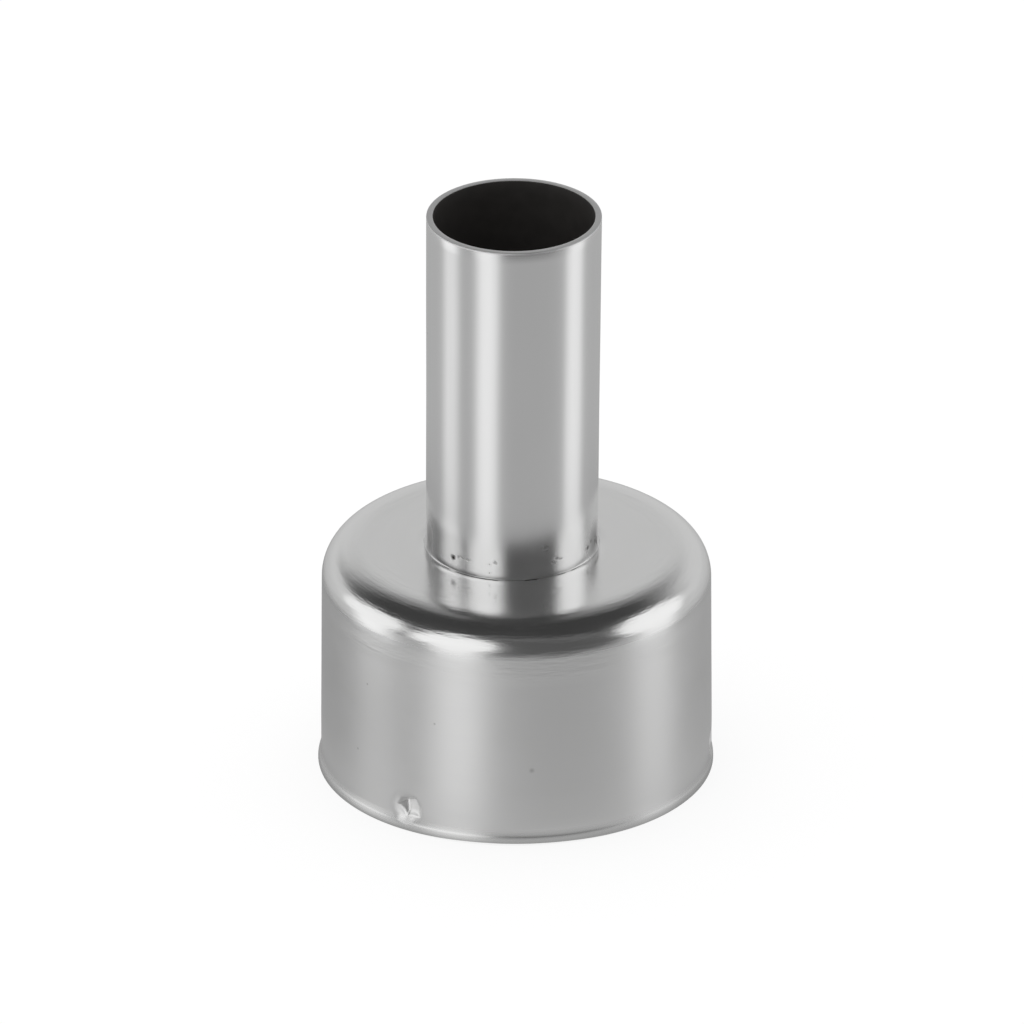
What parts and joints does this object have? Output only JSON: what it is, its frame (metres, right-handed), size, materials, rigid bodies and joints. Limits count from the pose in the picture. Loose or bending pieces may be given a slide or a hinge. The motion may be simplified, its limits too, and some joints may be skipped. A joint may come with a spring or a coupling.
{
  "type": "hot air nozzle",
  "caption": "Drawn steel socket cup with a flat shoulder, a flared rim lip and inward grip dimples, carrying a straight round outlet tube that directs hot air.",
  "frame": {"origin": "centre of the cup's rim, on the surface that the rim stands on", "axes": "+Z along the cup and the outlet tube, towards the mouth of the tube; -Y is the side that faces the picture's camera"},
  "size_m": [0.023, 0.023, 0.035],
  "materials": {
    "cup_steel": "drawn stainless sheet, polished round its axis to a satin finish",
    "tube_steel": "thin stainless tube, polished outside and dark with scale inside"
  },
  "bodies": {
    "root": {"socket_cup": "cup_steel", "outlet_tube": "tube_steel"}
  },
  "joints": []
}
